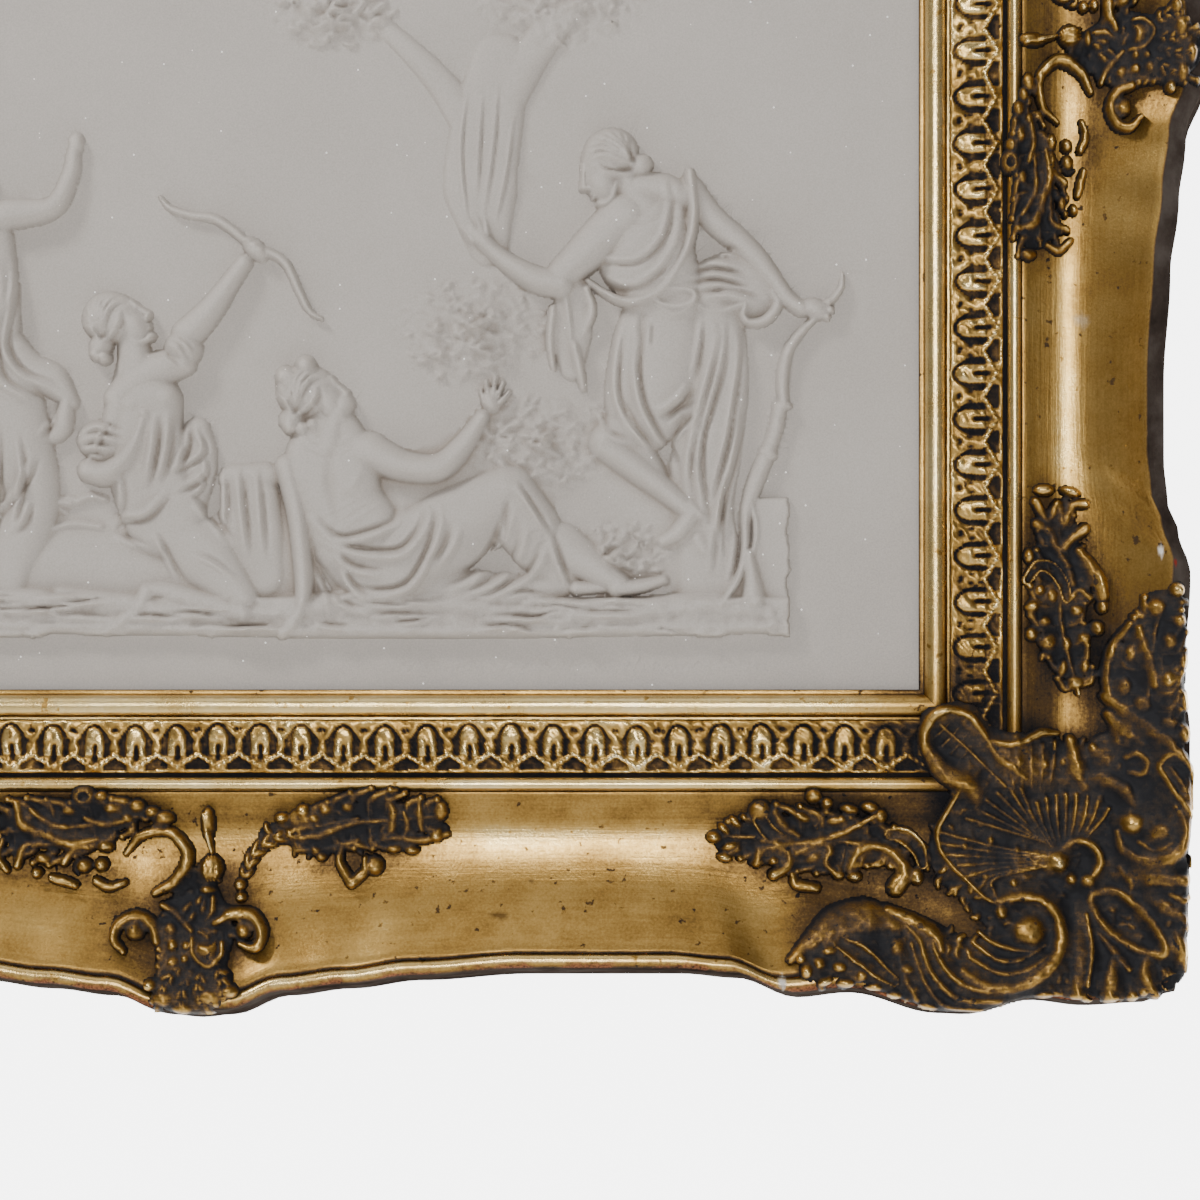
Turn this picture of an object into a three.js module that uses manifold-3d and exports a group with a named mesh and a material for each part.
// A framed relief plaque: a cast-stone panel carved with a classical hunting scene, held in the rebate of
// a swept gilt frame. The frame is four mitred rails, with a pressed ornament laid over each corner and
// over the middle of each rail. Millimetres, +Z up, front towards -Y, wall plane at Y = 0.
//
// Every piece is drawn lying down, in the plane of the panel: x right, y up the panel, z out of the wall,
// and the middle of the panel at the origin. The assembly at the end stands the pieces up.
import * as THREE from "three";
import { mergeVertices } from "three/addons/utils/BufferGeometryUtils.js";
import Module from "manifold-3d";

const wasm = await Module();
wasm.setup();

// Driving sizes of the panel
const SIGHT_WIDTH = 650; // opening that shows the panel
const SIGHT_HEIGHT = 576;
const PANEL_FRONT = 22; // the panel's ground above the wall
const PANEL_THICKNESS = 18;
const REBATE_WIDTH = 8; // how far the rebate runs out behind the lip
const PANEL_SIDE_GAP = 1; // play between the panel and the rebate's wall
const TOUCH_GAP = 0.3; // air left between pieces that touch

// Driving sizes of the rails, as widths outward from the sight edge and heights above the wall
const LIP_HEIGHT = 3.2; // front of the lip above the panel's ground
const SIGHT_BEAD_WIDTH = 12;
const SIGHT_BEAD_HEIGHT = 31;
const LEAF_BAND_WIDTH = 26;
const LEAF_BAND_HEIGHT = 29;
const BAND_GROOVE = 2; // depth and width of the groove beside the band
const BACK_BEAD_WIDTH = 7.5;
const BACK_BEAD_HEIGHT = 33;
const COVE_WIDTH = 54.5; // of a side rail
const COVE_HEIGHT = 26; // lowest line of the cove
const COVE_LOW_SHARE = 0.36; // where that line lies across the cove
const COVE_INNER_RISE = 4; // from that line up to the back bead
const CREST_HEIGHT = 50; // top of the rim
const RIM_WIDTH = 13; // from the crest to the outer edge
const RIM_DROP = 14; // from the crest to the ledge that the outer ornament hangs to
const SIDE_FOOT_HEIGHT = 8; // bottom of the sloping outer side
const CROSS_RAIL_EXTRA = 17; // the top and bottom rails are this much wider than the side rails

// The swells, the ornaments and the relief's landscape are drawn on a grid of this size.
const DRAWING_UNIT = 1;
const drawn = (values) => values.map((value) => (Array.isArray(value) ? drawn(value) : value * DRAWING_UNIT));

// How far the swept outer edge stands out past its narrowest width, as [distance, extra] pairs. The first
// two run from the corner, and the third from the middle of a rail.
const CROSS_CORNER_SWELL = drawn([
  [0, 8], [16, 13], [42, 14.4], [66, 12], [96, 18.5], [108, 18], [149, 8.6], [172, 10.8], [200, 2], [225, 0],
]);
const SIDE_CORNER_SWELL = drawn([
  [0, 5], [16, 9.5], [85, 11.7], [117, 11.7], [139, 9], [188, 12], [206, 6.8], [220, 1.8], [240, 0],
]);
const MIDDLE_SWELL = drawn([[0, 19.8], [14, 18.5], [40, 10], [68, 6.8], [100, 3], [150, 0]]);

const HALF_WIDTH = SIGHT_WIDTH / 2;
const HALF_HEIGHT = SIGHT_HEIGHT / 2;
const COVE_START = SIGHT_BEAD_WIDTH + LEAF_BAND_WIDTH + BACK_BEAD_WIDTH;
const COVE_LOW = COVE_START + COVE_WIDTH * COVE_LOW_SHARE;
const CREST = COVE_START + COVE_WIDTH;
const MOUNT_OUT = COVE_LOW; // the wall touches the back of the top rail here

// Closed solid from rings of points, each a copy of one clockwise section moved along, with capped ends.
function loft(rings, section) {
  const sides = section.length;
  const index = [];
  for (let ring = 0; ring < rings.length - 1; ring++)
    for (let side = 0; side < sides; side++) {
      const a = ring * sides + side;
      const b = ring * sides + ((side + 1) % sides);
      const firstHalf = ring < (rings.length - 1) / 2; // the two halves mirror each other's triangles
      if (firstHalf) index.push(a, b, a + sides, b, b + sides, a + sides);
      else index.push(a, b, b + sides, a, b + sides, a + sides);
    }
  const last = (rings.length - 1) * sides;
  const contour = section.map(([u, v]) => new THREE.Vector2(u, v));
  for (const [a, b, c] of THREE.ShapeUtils.triangulateShape(contour, []))
    index.push(a, b, c, last + a, last + c, last + b);
  const geometry = new THREE.BufferGeometry();
  geometry.setAttribute("position", new THREE.Float32BufferAttribute(rings.flat(2), 3));
  geometry.setIndex(index);
  return geometry;
}

// A solid for joining and cutting, turned so that its faces point outward.
function solidOf(geometry) {
  const bare = geometry.clone();
  bare.deleteAttribute("normal");
  bare.deleteAttribute("uv");
  const merged = mergeVertices(bare, 1e-4);
  const vertProperties = new Float32Array(merged.attributes.position.array);
  const triVerts = new Uint32Array(merged.index.array);
  const made = new wasm.Manifold(new wasm.Mesh({ numProp: 3, vertProperties, triVerts }));
  if (made.volume() > 0) return made;
  triVerts.reverse();
  return new wasm.Manifold(new wasm.Mesh({ numProp: 3, vertProperties, triVerts }));
}

function geometryOf(solid) {
  const mesh = solid.getMesh();
  const geometry = new THREE.BufferGeometry();
  geometry.setAttribute("position", new THREE.BufferAttribute(new Float32Array(mesh.vertProperties), 3));
  geometry.setIndex(new THREE.BufferAttribute(new Uint32Array(mesh.triVerts), 1));
  return geometry;
}

const fuse = (solids) => solids.reduce((whole, piece) => whole.add(piece));

// The largest body of a cut solid, without the crumbs that a cut leaves.
function largestBody(geometry) {
  const corners = geometry.index.array;
  const owner = Array.from({ length: geometry.attributes.position.count }, (_, vertex) => vertex);
  const find = (vertex) => {
    while (owner[vertex] !== vertex) vertex = owner[vertex];
    return vertex;
  };
  const faces = [];
  for (let i = 0; i < corners.length; i += 3) {
    const [a, b, c] = corners.slice(i, i + 3);
    owner[find(b)] = find(a);
    owner[find(c)] = find(a);
    faces.push([a, b, c]);
  }
  const bodies = new Map();
  for (const face of faces) bodies.set(find(face[0]), [...(bodies.get(find(face[0])) || []), ...face]);
  const kept = geometry.clone();
  kept.setIndex([...bodies.values()].sort((one, other) => other.length - one.length)[0]);
  return mergeVertices(kept.toNonIndexed(), 1e-4);
}

// Rails. A cross rail runs along x and is drawn below the panel; a side rail runs along y, to its right.
const RAIL_STATIONS = 7; // sections along half a rail
const MITRE_CROWDING = 0.8; // stations lie closer together towards the mitres

// Reads a height from [position, value] pairs, easing in and out of each pair.
function eased(pairs, at) {
  const last = pairs[pairs.length - 1];
  if (at <= pairs[0][0]) return pairs[0][1];
  if (at >= last[0]) return last[1];
  const next = pairs.findIndex(([position]) => position > at);
  const [from, low] = pairs[next - 1];
  const [to, high] = pairs[next];
  const share = (1 - Math.cos((Math.PI * (at - from)) / (to - from))) / 2;
  return low + (high - low) * share;
}

function coveHeight(out) {
  const inward = Math.max(0, (COVE_LOW - out) / (COVE_LOW - COVE_START));
  const outward = Math.max(0, (out - COVE_LOW) / (CREST - COVE_LOW));
  return COVE_HEIGHT + COVE_INNER_RISE * inward ** 1.5 + (CREST_HEIGHT - COVE_HEIGHT) * outward ** 1.8;
}

// The rail's front as [distance out, height], from the lip to the foot of the outer side.
const FRONT_SECTION = [
  [0, PANEL_FRONT + LIP_HEIGHT],
  [SIGHT_BEAD_WIDTH * 0.5, SIGHT_BEAD_HEIGHT],
  [SIGHT_BEAD_WIDTH, LEAF_BAND_HEIGHT - BAND_GROOVE],
  [SIGHT_BEAD_WIDTH + BAND_GROOVE, LEAF_BAND_HEIGHT],
  [SIGHT_BEAD_WIDTH + LEAF_BAND_WIDTH, LEAF_BAND_HEIGHT - BAND_GROOVE / 2],
  [COVE_START - BACK_BEAD_WIDTH * 0.5, BACK_BEAD_HEIGHT],
  ...[0, COVE_LOW_SHARE, 0.62, 0.83, 1].map((share) => {
    const out = COVE_START + COVE_WIDTH * share;
    return [out, coveHeight(out)];
  }),
  [CREST + RIM_WIDTH * 0.5, CREST_HEIGHT - RIM_DROP * 0.3],
  [CREST + RIM_WIDTH * 0.65, CREST_HEIGHT - RIM_DROP],
  [CREST + RIM_WIDTH, SIDE_FOOT_HEIGHT],
];

// Distance out of a point of the section once the outer edge has moved out by shift, and back again.
function swept(out, shift) {
  if (out <= COVE_LOW) return out;
  if (out >= CREST) return out + shift;
  return COVE_LOW + ((out - COVE_LOW) * (CREST + shift - COVE_LOW)) / (CREST - COVE_LOW);
}

function unswept(out, shift) {
  if (out <= COVE_LOW) return out;
  if (out >= CREST + shift) return out - shift;
  return COVE_LOW + ((out - COVE_LOW) * (CREST - COVE_LOW)) / (CREST + shift - COVE_LOW);
}

const crossCornerShift = CROSS_RAIL_EXTRA + CROSS_CORNER_SWELL[0][1];
const sideCornerShift = SIDE_CORNER_SWELL[0][1];
const CROSS = {
  half: HALF_WIDTH,
  cornerShift: sideCornerShift,
  end: HALF_WIDTH + CREST + RIM_WIDTH + sideCornerShift,
  extra: CROSS_RAIL_EXTRA,
  swell: CROSS_CORNER_SWELL,
  place: (along, out, height) => [along, -HALF_HEIGHT - out, height],
};
const SIDE = {
  half: HALF_HEIGHT,
  cornerShift: crossCornerShift,
  end: HALF_HEIGHT + CREST + RIM_WIDTH + crossCornerShift,
  extra: 0,
  swell: SIDE_CORNER_SWELL,
  place: (along, out, height) => [HALF_WIDTH + out, along, height],
};

function shiftAt(rail, along) {
  const reach = Math.abs(along);
  return rail.extra + eased(rail.swell, rail.end - reach) + eased(MIDDLE_SWELL, reach);
}

// Grown is how far the front stands off, for cutting the ornaments' undersides to lie on the rails.
function railGeometry(rail, grown = 0) {
  const section = [
    [REBATE_WIDTH, 0],
    [REBATE_WIDTH, PANEL_FRONT + TOUCH_GAP],
    [0, PANEL_FRONT + TOUCH_GAP],
    ...FRONT_SECTION.map(([out, height]) => [out + (out > CREST ? grown : 0), height + grown]),
    [CREST + RIM_WIDTH + grown, 0],
  ];
  const rings = [];
  for (let station = -RAIL_STATIONS; station <= RAIL_STATIONS; station++) {
    const turn = (Math.PI / 2) * MITRE_CROWDING;
    const share = Math.sin((turn * station) / RAIL_STATIONS) / Math.sin(turn);
    const shift = shiftAt(rail, share * rail.end);
    const ring = section.map(([out, height]) => {
      const end = rail.half + swept(out, rail.cornerShift) - TOUCH_GAP / 2 + grown * 3;
      return rail.place(share * end, swept(out, shift), height);
    });
    rings.push(ring);
  }
  return loft(rings, section);
}

// Height of the rails' front under a point, for laying ornament on it. Past the rim it keeps to a ledge.
function frameHeight([x, y]) {
  const sideOut = unswept(Math.abs(x) - HALF_WIDTH, shiftAt(SIDE, y));
  const crossOut = unswept(Math.abs(y) - HALF_HEIGHT, shiftAt(CROSS, x));
  const out = Math.max(sideOut, crossOut);
  const next = FRONT_SECTION.findIndex(([at]) => at > out);
  if (next === 0) return PANEL_FRONT;
  if (next < 0 || out > CREST + RIM_WIDTH * 0.65) return CREST_HEIGHT - RIM_DROP;
  const [from, low] = FRONT_SECTION[next - 1];
  const [to, high] = FRONT_SECTION[next];
  return low + ((high - low) * (out - from)) / (to - from);
}

// Relief forms: ridges and bosses laid on the surface below them and let into it.
const SINK = 2 * DRAWING_UNIT; // how deep a form is let in
const ROUND = [[-1, 0], [-0.6, 0.85], [0.45, 1], [1, 0]];
const SHARP = [[-1, 0], [0, 1], [1, 0]];

function shareOf(values, share) {
  const place = share * (values.length - 1);
  const low = Math.min(values.length - 2, Math.floor(place));
  return values[low] + (values[low + 1] - values[low]) * (place - low);
}

// A smooth ridge through a few points, whose half-widths and heights run evenly from its start to its end.
function ridge(points, widths, heights, ground, section = SHARP) {
  const path = new THREE.CatmullRomCurve3(points.map(([x, y]) => new THREE.Vector3(x, y, 0)));
  const count = points.length - 1;
  const rings = [];
  for (let step = 0; step <= count; step++) {
    const share = step / count;
    const { x, y } = path.getPoint(share);
    const along = path.getTangent(share);
    const width = shareOf(widths, share);
    const aside = (side) => [x - along.y * width * side, y + along.x * width * side];
    const low = Math.min(...[-1, 0, 1].map((side) => ground(aside(side)))) - SINK;
    const top = ground([x, y]) + shareOf(heights, share);
    rings.push(section.map(([side, up]) => [...aside(side), low + (top - low) * up]));
  }
  return solidOf(loft(rings, section));
}

// A rounded boss, such as a scroll's eye, a bud or a head.
function boss(middle, [along, across], height, ground, turn = 0, sides = 6) {
  const geometry = new THREE.SphereGeometry(1, sides, 3);
  geometry.rotateX(Math.PI / 2);
  geometry.scale(along, across, height + SINK);
  geometry.rotateZ(turn);
  geometry.translate(middle[0], middle[1], ground(middle) - SINK);
  return solidOf(geometry);
}

// Leaflets that leave a stem on both sides in turn, as on an acanthus spray.
function leaflets(stem, count, length, width, height, ground) {
  const path = new THREE.CatmullRomCurve3(stem.map(([x, y]) => new THREE.Vector3(x, y, 0)));
  const made = [];
  for (let leaflet = 0; leaflet < count; leaflet++) {
    const share = (leaflet + 0.8) / (count + 0.6);
    const root = path.getPoint(share);
    const turn = leaflet % 2 ? 1.05 : -1.05;
    const lean = path.getTangent(share).applyAxisAngle(new THREE.Vector3(0, 0, 1), turn);
    const tip = root.clone().addScaledVector(lean, length);
    const run = [root, tip].map(({ x, y }) => [x, y]);
    made.push(ridge(run, [width, width * 0.9], [height, height * 0.7], ground));
  }
  return made;
}

// Draws on the rails, with each place turned into a point of the panel's plane by place.
function drawOnRails(place) {
  const forms = [];
  const path = (points) => drawn(points).map(place);
  return {
    forms,
    path,
    addRidge: (points, widths, heights) => {
      forms.push(ridge(path(points), drawn(widths), drawn(heights), frameHeight));
    },
    addBoss: (middle, size, height) => {
      forms.push(boss(path([middle])[0], drawn(size), height * DRAWING_UNIT, frameHeight));
    },
    addLeaflets: (stem) => {
      forms.push(...leaflets(path(stem), 3, ...drawn([16, 8, 5]), frameHeight));
    },
  };
}

// Corner ornament, drawn at the lower right. A place is how far it lies out from the side sight edge and
// out from the lower sight edge, so a negative value runs back along a rail.
function cornerOrnament() {
  const { forms, addRidge, addBoss, addLeaflets } = drawOnRails(([side, below]) => [
    HALF_WIDTH + side,
    -HALF_HEIGHT - below,
  ]);
  // looped leaf over the mitre
  addRidge([[30, 54], [4, 28], [14, 9], [32, 22], [42, 44]], [6, 4, 4, 6], [7, 9, 9, 7]);
  // shell's ribs, spread from its heart
  for (let rib = 0; rib < 6; rib++) {
    const turn = THREE.MathUtils.degToRad(197 - rib * 25);
    const ray = [6, 50].map((reach) => [66 + Math.cos(turn) * reach, 78 - Math.sin(turn) * reach]);
    addRidge(ray, [5, 13], [9, 7]);
  }
  addBoss([66, 78], [8, 8], 11);
  // paired scrolls with round eyes
  addRidge([[62, 84], [60, 114], [34, 134], [2, 118]], [6, 8, 8, 5], [9, 10, 8, 6]);
  addRidge([[72, 76], [102, 72], [111, 48], [97, 6]], [6, 8, 8, 6], [9, 9, 8, 6]);
  for (const eye of [[44, 104], [90, 56]]) addBoss(eye, [10, 10], 9);
  // palmette that fills the outer corner
  for (const tip of [[113, 90], [106, 122], [76, 132]]) addRidge([[70, 83], tip], [7, 14], [9, 7]);
  // outer leaves, one along each rim
  addRidge([[-62, 120], [-34, 109], [10, 120]], [5, 17, 10], [5, 8, 6]);
  addRidge([[107, -58], [101, -28], [101, 12]], [6, 13, 8], [5, 7, 6]);
  // leaf sprays on the cove
  const lower = [[-101, 67], [-56, 66], [-10, 64], [32, 72]];
  const upper = [[57, -92], [60, -52], [61, -6], [64, 44]];
  addRidge(lower, [4, 9, 8, 8], [4, 6, 6, 5]);
  addRidge(upper, [4, 9, 8, 8], [4, 6, 6, 5]);
  for (const stem of [lower, upper]) addLeaflets(stem.slice(0, 3));
  return fuse(forms);
}

// Middle ornament. A place is how far it lies right of the rail's middle and out from the sight edge.
function middleOrnament(place) {
  const { forms, addRidge, addBoss, addLeaflets } = drawOnRails(place);
  addRidge([[4, 58], [2, 100], [-3, 138]], [7, 25, 18], [4, 6, 4]);
  addBoss([4.5, 65], [4, 9], 7);
  addBoss([6.5, 82], [7, 8], 8);
  for (const hand of [-1, 1]) {
    addRidge([[hand * 4, 104], [hand * 28, 106]], [7, 7], [9, 7]);
    addBoss([hand * 24, 109], [8, 8], 8);
    const wing = [[8, 98], [24, 68], [66, 60], [112, 61]].map(([along, out]) => [hand * along, out]);
    addRidge(wing, [6, 8, 9, 4], [6, 7, 6, 3]);
    addLeaflets(wing.slice(1));
  }
  return fuse(forms);
}

// Relief scene. A figure is a set of joints in shares of its own height, measured from a foot point that
// is itself a share of the half panel, and the limbs and masses that join them.
const panelGround = () => PANEL_FRONT;
const GROUND_LINE = -0.875; // the figures' ground, as a share of the half height
const STRIP_LOW = -0.915; // bottom of the rocky strip
const STRIP_HALF = 0.82; // half its length, as a share of the half width

function figure({ across, tall, joints, limbs, masses }) {
  const height = tall * HALF_HEIGHT;
  const foot = [across * HALF_WIDTH, GROUND_LINE * HALF_HEIGHT];
  const at = (name) => joints[name].map((share, axis) => foot[axis] + share * height);
  const grow = (values) => values.map((value) => value * height);
  const limb = ([names, widths, lifts]) => {
    return ridge(names.split(" ").map(at), grow(widths), grow(lifts), panelGround, ROUND);
  };
  const mass = ([name, size, lift, turn]) => boss(at(name), grow(size), lift * height, panelGround, turn);
  return [...limbs.map(limb), ...masses.map(mass)];
}

const HUNTRESS = {
  across: 0.716,
  tall: 0.788,
  joints: {
    head: [-0.175, 0.915], neck: [-0.15, 0.83], chest: [-0.13, 0.73], waist: [-0.12, 0.61], hip: [-0.08, 0.5],
    nearShoulder: [-0.2, 0.77], nearElbow: [-0.325, 0.63], nearHand: [-0.47, 0.73],
    farShoulder: [-0.075, 0.8], farElbow: [0.1, 0.705], farHand: [0.205, 0.595],
    knee: [-0.225, 0.335], heel: [-0.06, 0.2], toe: [-0.115, 0.133], thigh: [-0.05, 0.35], hem: [-0.03, 0.05],
    bowTip: [0.253, 0.671], bowUpper: [0.15, 0.53], bowGrip: [0.135, 0.4], bowLower: [0.075, 0.228],
    bowEnd: [0.014, 0.012],
    overfold: [0.04, 0.625], scarf: [-0.3, 0.6], scarfEnd: [-0.275, 0.45],
  },
  limbs: [
    ["neck chest waist hip", [0.035, 0.095, 0.09, 0.11], [0.03, 0.05, 0.045, 0.05]],
    ["hip thigh hem", [0.11, 0.12, 0.07], [0.05, 0.045, 0.03]],
    ["hip knee heel toe", [0.08, 0.05, 0.035, 0.025], [0.05, 0.06, 0.04, 0.03]],
    ["nearShoulder nearElbow nearHand", [0.045, 0.035, 0.02], [0.05, 0.045, 0.025]],
    ["farShoulder farElbow farHand", [0.04, 0.03, 0.02], [0.04, 0.035, 0.03]],
    ["bowTip farHand bowUpper bowGrip bowLower bowEnd", [0.008, 0.014, 0.02], [0.015, 0.02, 0.022]],
    ["scarf scarfEnd", [0.03, 0.045], [0.02, 0.012]],
  ],
  masses: [["head", [0.055, 0.07], 0.045, -0.3], ["overfold", [0.1, 0.055], 0.04, -0.2]],
};

const RECLINING = {
  across: 0.127,
  tall: 0.422,
  joints: {
    head: [0.11, 0.8], neck: [0.16, 0.66], back: [0.2, 0.52], waist: [0.2, 0.35], hip: [0.32, 0.2],
    shoulder: [0.29, 0.64], elbow: [0.585, 0.5], hand: [0.78, 0.86],
    propShoulder: [0.06, 0.6], propElbow: [0.035, 0.27], propHand: [0, -0.05],
    knee: [0.815, 0.53], calf: [0.95, 0.2], toe: [1.33, 0.12], seat: [0.5, 0.08],
  },
  limbs: [
    ["neck back waist hip", [0.07, 0.2, 0.17, 0.2], [0.06, 0.09, 0.09, 0.1]],
    ["hip knee calf toe", [0.19, 0.13, 0.12, 0.05], [0.12, 0.11, 0.08, 0.05]],
    ["seat calf", [0.13, 0.1], [0.09, 0.06]],
    ["shoulder elbow hand", [0.08, 0.065, 0.035], [0.1, 0.09, 0.05]],
    ["propShoulder propElbow propHand", [0.08, 0.06, 0.045], [0.08, 0.08, 0.06]],
  ],
  masses: [["head", [0.13, 0.14], 0.1, 0.2]],
};

const ARCHER = {
  across: 0,
  tall: 0.5,
  joints: {
    head: [-0.235, 0.89], bun: [-0.31, 0.83], neck: [-0.18, 0.76], chest: [-0.15, 0.66],
    belly: [-0.135, 0.49], hip: [-0.1, 0.3], shoulder: [-0.08, 0.74], elbow: [0.122, 1.05],
    hand: [0.194, 1.14],
    drawShoulder: [-0.26, 0.68], drawElbow: [-0.34, 0.41], drawHand: [-0.17, 0.58],
    bowTop: [-0.122, 1.3], bowMiddle: [0.02, 1.245], bowLow: [0.27, 1.075], bowEnd: [0.375, 0.92],
    raisedKnee: [0.17, 0.42], raisedFoot: [0.2, 0.02], knee: [0.14, 0.03], ankle: [-0.2, -0.02],
  },
  limbs: [
    ["neck chest belly hip", [0.06, 0.15, 0.13, 0.16], [0.05, 0.07, 0.06, 0.07]],
    ["hip raisedKnee raisedFoot", [0.13, 0.1, 0.07], [0.08, 0.08, 0.05]],
    ["hip knee ankle", [0.12, 0.07, 0.04], [0.07, 0.06, 0.05]],
    ["shoulder elbow hand", [0.06, 0.045, 0.025], [0.06, 0.055, 0.04]],
    ["drawShoulder drawElbow drawHand", [0.07, 0.06, 0.035], [0.06, 0.07, 0.07]],
    ["bowTop bowMiddle hand bowLow bowEnd", [0.01, 0.018, 0.01], [0.02, 0.035, 0.02]],
  ],
  masses: [["head", [0.1, 0.11], 0.08, 0.3], ["bun", [0.06, 0.06], 0.05]],
};

const STRIDING = {
  across: -0.302,
  tall: 0.719,
  joints: {
    head: [-0.035, 0.905], neck: [-0.02, 0.82], chest: [-0.01, 0.71], waist: [0, 0.56], hip: [0.03, 0.45],
    shoulder: [0.03, 0.77], elbow: [0.15, 0.835], hand: [0.198, 0.955],
    backShoulder: [-0.07, 0.78], backElbow: [-0.2, 0.7], backHand: [-0.22, 0.56],
    knee: [0.12, 0.26], toe: [0.07, 0.01], backKnee: [-0.04, 0.24], backToe: [-0.14, 0.01],
    sash: [0.1, 0.5], sashEnd: [0.2, 0.49],
  },
  limbs: [
    ["neck chest waist hip", [0.035, 0.09, 0.08, 0.1], [0.03, 0.05, 0.045, 0.05]],
    ["hip knee toe", [0.1, 0.08, 0.05], [0.05, 0.05, 0.03]],
    ["hip backKnee backToe", [0.1, 0.09, 0.05], [0.05, 0.04, 0.02]],
    ["shoulder elbow hand", [0.04, 0.03, 0.018], [0.045, 0.035, 0.025]],
    ["backShoulder backElbow backHand", [0.04, 0.03, 0.018], [0.035, 0.03, 0.02]],
    ["waist sash sashEnd", [0.04, 0.045, 0.03], [0.04, 0.03, 0.015]],
  ],
  masses: [["head", [0.05, 0.06], 0.045, -0.2]],
};

const SEATED = {
  across: -0.65,
  tall: 0.52,
  joints: {
    head: [0.02, 0.9], neck: [0, 0.78], chest: [-0.02, 0.64], hip: [-0.08, 0.32],
    knee: [0.3, 0.36], toe: [0.36, 0.02], shoulder: [0.06, 0.7], elbow: [0.2, 0.54], hand: [0.33, 0.64],
    backShoulder: [-0.1, 0.7], backElbow: [-0.2, 0.5], backHand: [-0.16, 0.26], seat: [-0.12, 0.1],
  },
  limbs: [
    ["neck chest hip", [0.05, 0.13, 0.17], [0.05, 0.075, 0.08]],
    ["hip knee toe", [0.14, 0.11, 0.07], [0.08, 0.08, 0.05]],
    ["shoulder elbow hand", [0.055, 0.045, 0.025], [0.065, 0.06, 0.035]],
    ["backShoulder backElbow backHand", [0.055, 0.045, 0.03], [0.05, 0.045, 0.03]],
  ],
  masses: [["head", [0.075, 0.085], 0.065, 0.1], ["seat", [0.2, 0.14], 0.05]],
};

// Ground strip, banks and the tree, with places as shares of the half panel and the rest drawn
function landscape() {
  const spot = ([across, up]) => [across * HALF_WIDTH, up * HALF_HEIGHT];
  const bar = ([left, right], [low, high], lift) => {
    const [[x0, y0], [x1, y1]] = [spot([left, low]), spot([right, high])];
    const box = new THREE.BoxGeometry(x1 - x0, y1 - y0, lift * DRAWING_UNIT + SINK);
    box.translate((x0 + x1) / 2, (y0 + y1) / 2, PANEL_FRONT + (lift * DRAWING_UNIT - SINK) / 2);
    return solidOf(box);
  };
  const lay = (points, widths, heights) => {
    return ridge(points.map(spot), drawn(widths), drawn(heights), panelGround, ROUND);
  };
  const bush = ([across, up, radius]) => {
    return boss(spot([across, up]), drawn([radius, radius * 0.72]), 6 * DRAWING_UNIT, panelGround, 0.2, 8);
  };
  return [
    bar([-STRIP_HALF, STRIP_HALF], [STRIP_LOW, GROUND_LINE + 0.03], 6),
    bar([STRIP_HALF - 0.11, STRIP_HALF - 0.005], [STRIP_LOW + 0.02, -0.7], 4),
    lay([[0.3, -0.62], [0.46, -0.52], [0.6, -0.66]], [26, 34, 30], [2.5, 4, 3]),
    lay([[-0.28, -0.79], [-0.06, -0.77], [0.18, -0.8]], [20, 20, 18], [3, 3, 3]),
    lay([[0.41, -0.33], [0.39, -0.2], [0.4, -0.04], [0.45, 0.1]], [9, 16, 15, 13], [3, 6, 6, 5]),
    lay([[0.39, -0.08], [0.31, 0.02], [0.22, 0.1]], [9, 7, 5], [5, 4, 3]),
    ...[[0.5, 0.12, 46], [0.31, 0.17, 42], [0.42, 0.3, 50], [0.61, 0.24, 38], [0.18, 0.07, 30]].map(bush),
  ];
}

function panel() {
  const edge = REBATE_WIDTH - PANEL_SIDE_GAP;
  const slab = new THREE.BoxGeometry(SIGHT_WIDTH + edge * 2, SIGHT_HEIGHT + edge * 2, PANEL_THICKNESS);
  slab.translate(0, 0, PANEL_FRONT - PANEL_THICKNESS / 2);
  const figures = [HUNTRESS, RECLINING, ARCHER, STRIDING, SEATED].flatMap(figure);
  return fuse([solidOf(slab), ...landscape(), ...figures]);
}

// Assembly
const STONE = { color: 0xc9c1b8, roughness: 0.6, metalness: 0 };
const GILT = { color: 0xa07a2e, roughness: 0.38, metalness: 0.9 };
const DARK_GILT = { color: 0x6b4e22, roughness: 0.45, metalness: 0.8 };

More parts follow.
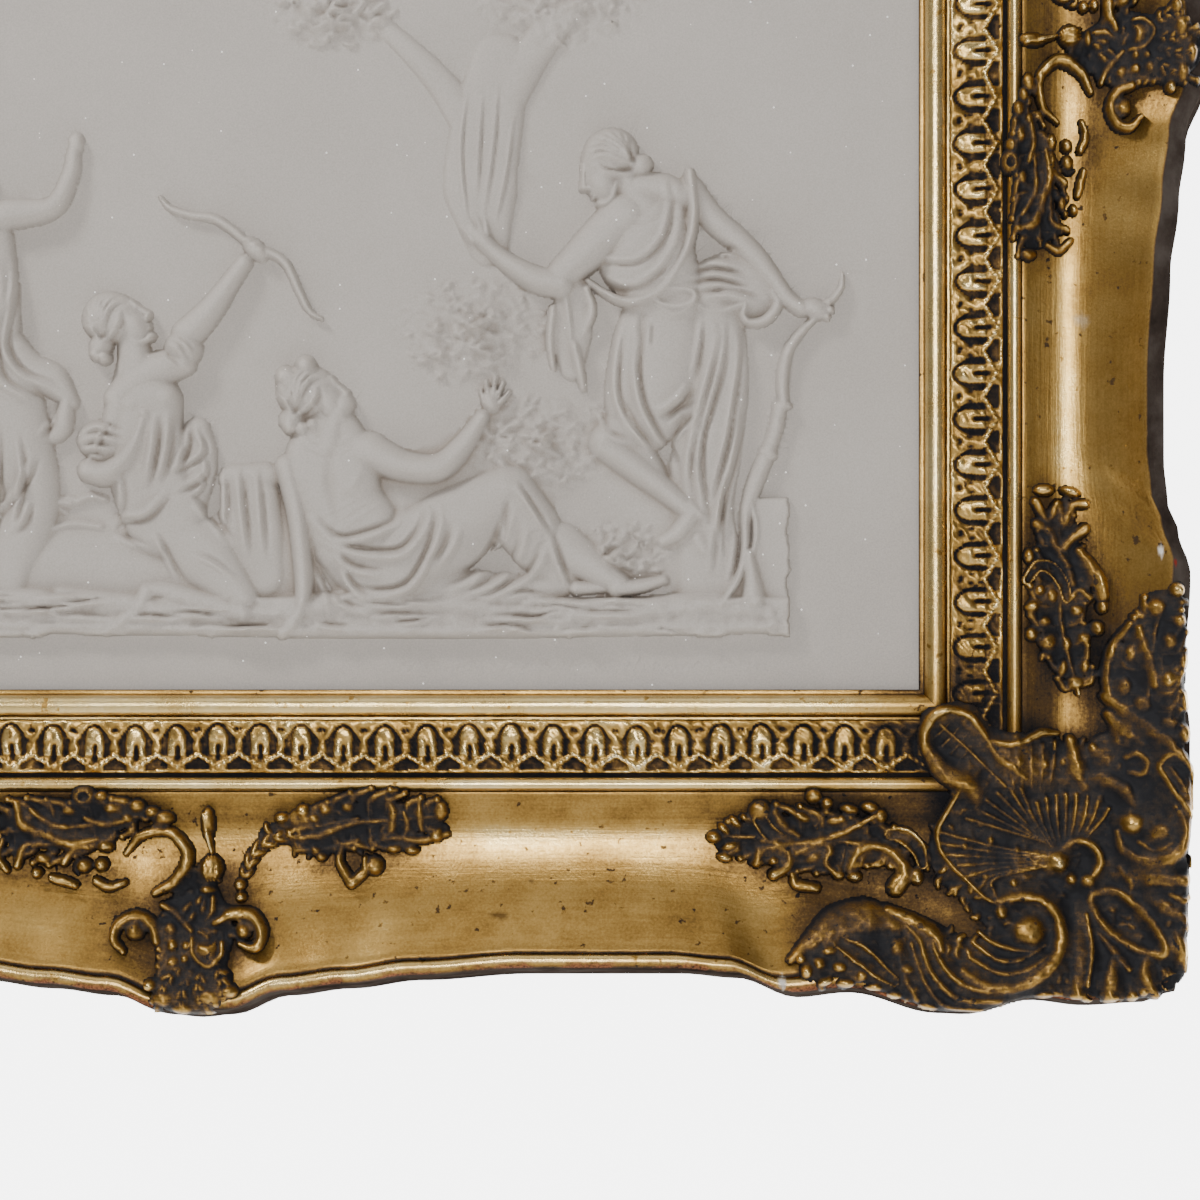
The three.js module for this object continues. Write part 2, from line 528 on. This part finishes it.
const plaque = new THREE.Group();
plaque.name = "framed_relief_plaque";

// Adds a piece, mirrored if it is drawn for another side of the frame, and stands it up off the wall.
function stand(name, finish, geometry, mirrorX = 1, mirrorY = 1) {
  const drawn = geometry.clone().scale(mirrorX, mirrorY, 1);
  drawn.translate(0, -HALF_HEIGHT - MOUNT_OUT, 0);
  drawn.rotateX(Math.PI / 2);
  const mesh = new THREE.Mesh(geometryOf(solidOf(drawn)), new THREE.MeshStandardMaterial(finish));
  mesh.name = name;
  plaque.add(mesh);
}

const standOff = [solidOf(railGeometry(CROSS, TOUCH_GAP)), solidOf(railGeometry(SIDE, TOUCH_GAP))];
const laidOnRails = (ornament) => {
  return largestBody(geometryOf(standOff.reduce((left, rail) => left.subtract(rail), ornament)));
};

// A middle ornament is drawn for a cross rail, and drawn in to suit a side rail's narrower cove.
const middleAcross = middleOrnament(([along, out]) => [along, -HALF_HEIGHT - out]);
const middleUpSide = middleOrnament(([along, out]) => {
  const drawnIn = swept(unswept(out, shiftAt(CROSS, along)), shiftAt(SIDE, along));
  return [HALF_WIDTH + drawnIn, along];
});

const crossRail = railGeometry(CROSS);
const sideRail = railGeometry(SIDE);
const corner = laidOnRails(cornerOrnament());
const crossMiddle = laidOnRails(middleAcross);
const sideMiddle = laidOnRails(middleUpSide);

stand("plaque", STONE, geometryOf(panel()));
stand("rail_bottom", GILT, crossRail);
stand("rail_top", GILT, crossRail, 1, -1);
stand("rail_right", GILT, sideRail);
stand("rail_left", GILT, sideRail, -1, 1);
stand("corner_ornament_bottom_right", DARK_GILT, corner);
stand("corner_ornament_bottom_left", DARK_GILT, corner, -1, 1);
stand("corner_ornament_top_right", DARK_GILT, corner, 1, -1);
stand("corner_ornament_top_left", DARK_GILT, corner, -1, -1);
stand("centre_ornament_bottom", DARK_GILT, crossMiddle);
stand("centre_ornament_top", DARK_GILT, crossMiddle, 1, -1);
stand("centre_ornament_right", DARK_GILT, sideMiddle);
stand("centre_ornament_left", DARK_GILT, sideMiddle, -1, 1);

export default plaque;
